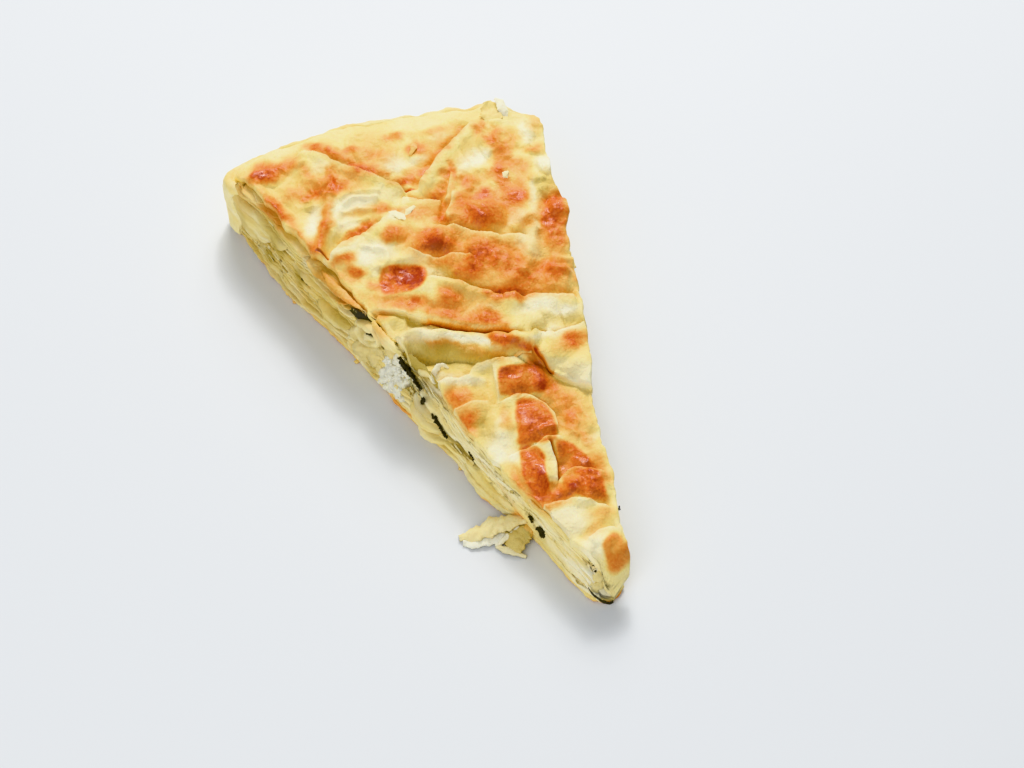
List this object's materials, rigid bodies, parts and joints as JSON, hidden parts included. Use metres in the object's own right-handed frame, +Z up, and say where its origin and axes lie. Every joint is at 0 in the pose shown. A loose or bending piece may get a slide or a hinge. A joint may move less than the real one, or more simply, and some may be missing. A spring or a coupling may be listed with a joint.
{
  "type": "slice of spinach water borek",
  "caption": "Wedge slice of layered water borek with a spinach and cheese filling, folded sheets and a browned, blistered top.",
  "frame": {"origin": "on the surface the slice rests on, under its middle, 120 mm behind the tip", "axes": "+Z up from the flat underside to the browned top, +Y from the tip to the rounded back edge, +X to the right as seen from the tip"},
  "size_m": [0.133, 0.2475, 0.0341],
  "materials": {
    "baked_dough": "soft, slightly moist boiled and baked dough, pale yellow",
    "filling": "moist crumbled white cheese with dark cooked spinach",
    "browned_crust": "oily baked sheet, pale yellow to orange brown with glossy blisters"
  },
  "bodies": {
    "root": {"lower_pastry_layers": "baked_dough", "spinach_cheese_filling": "filling", "upper_pastry_layers": "browned_crust"}
  },
  "joints": []
}
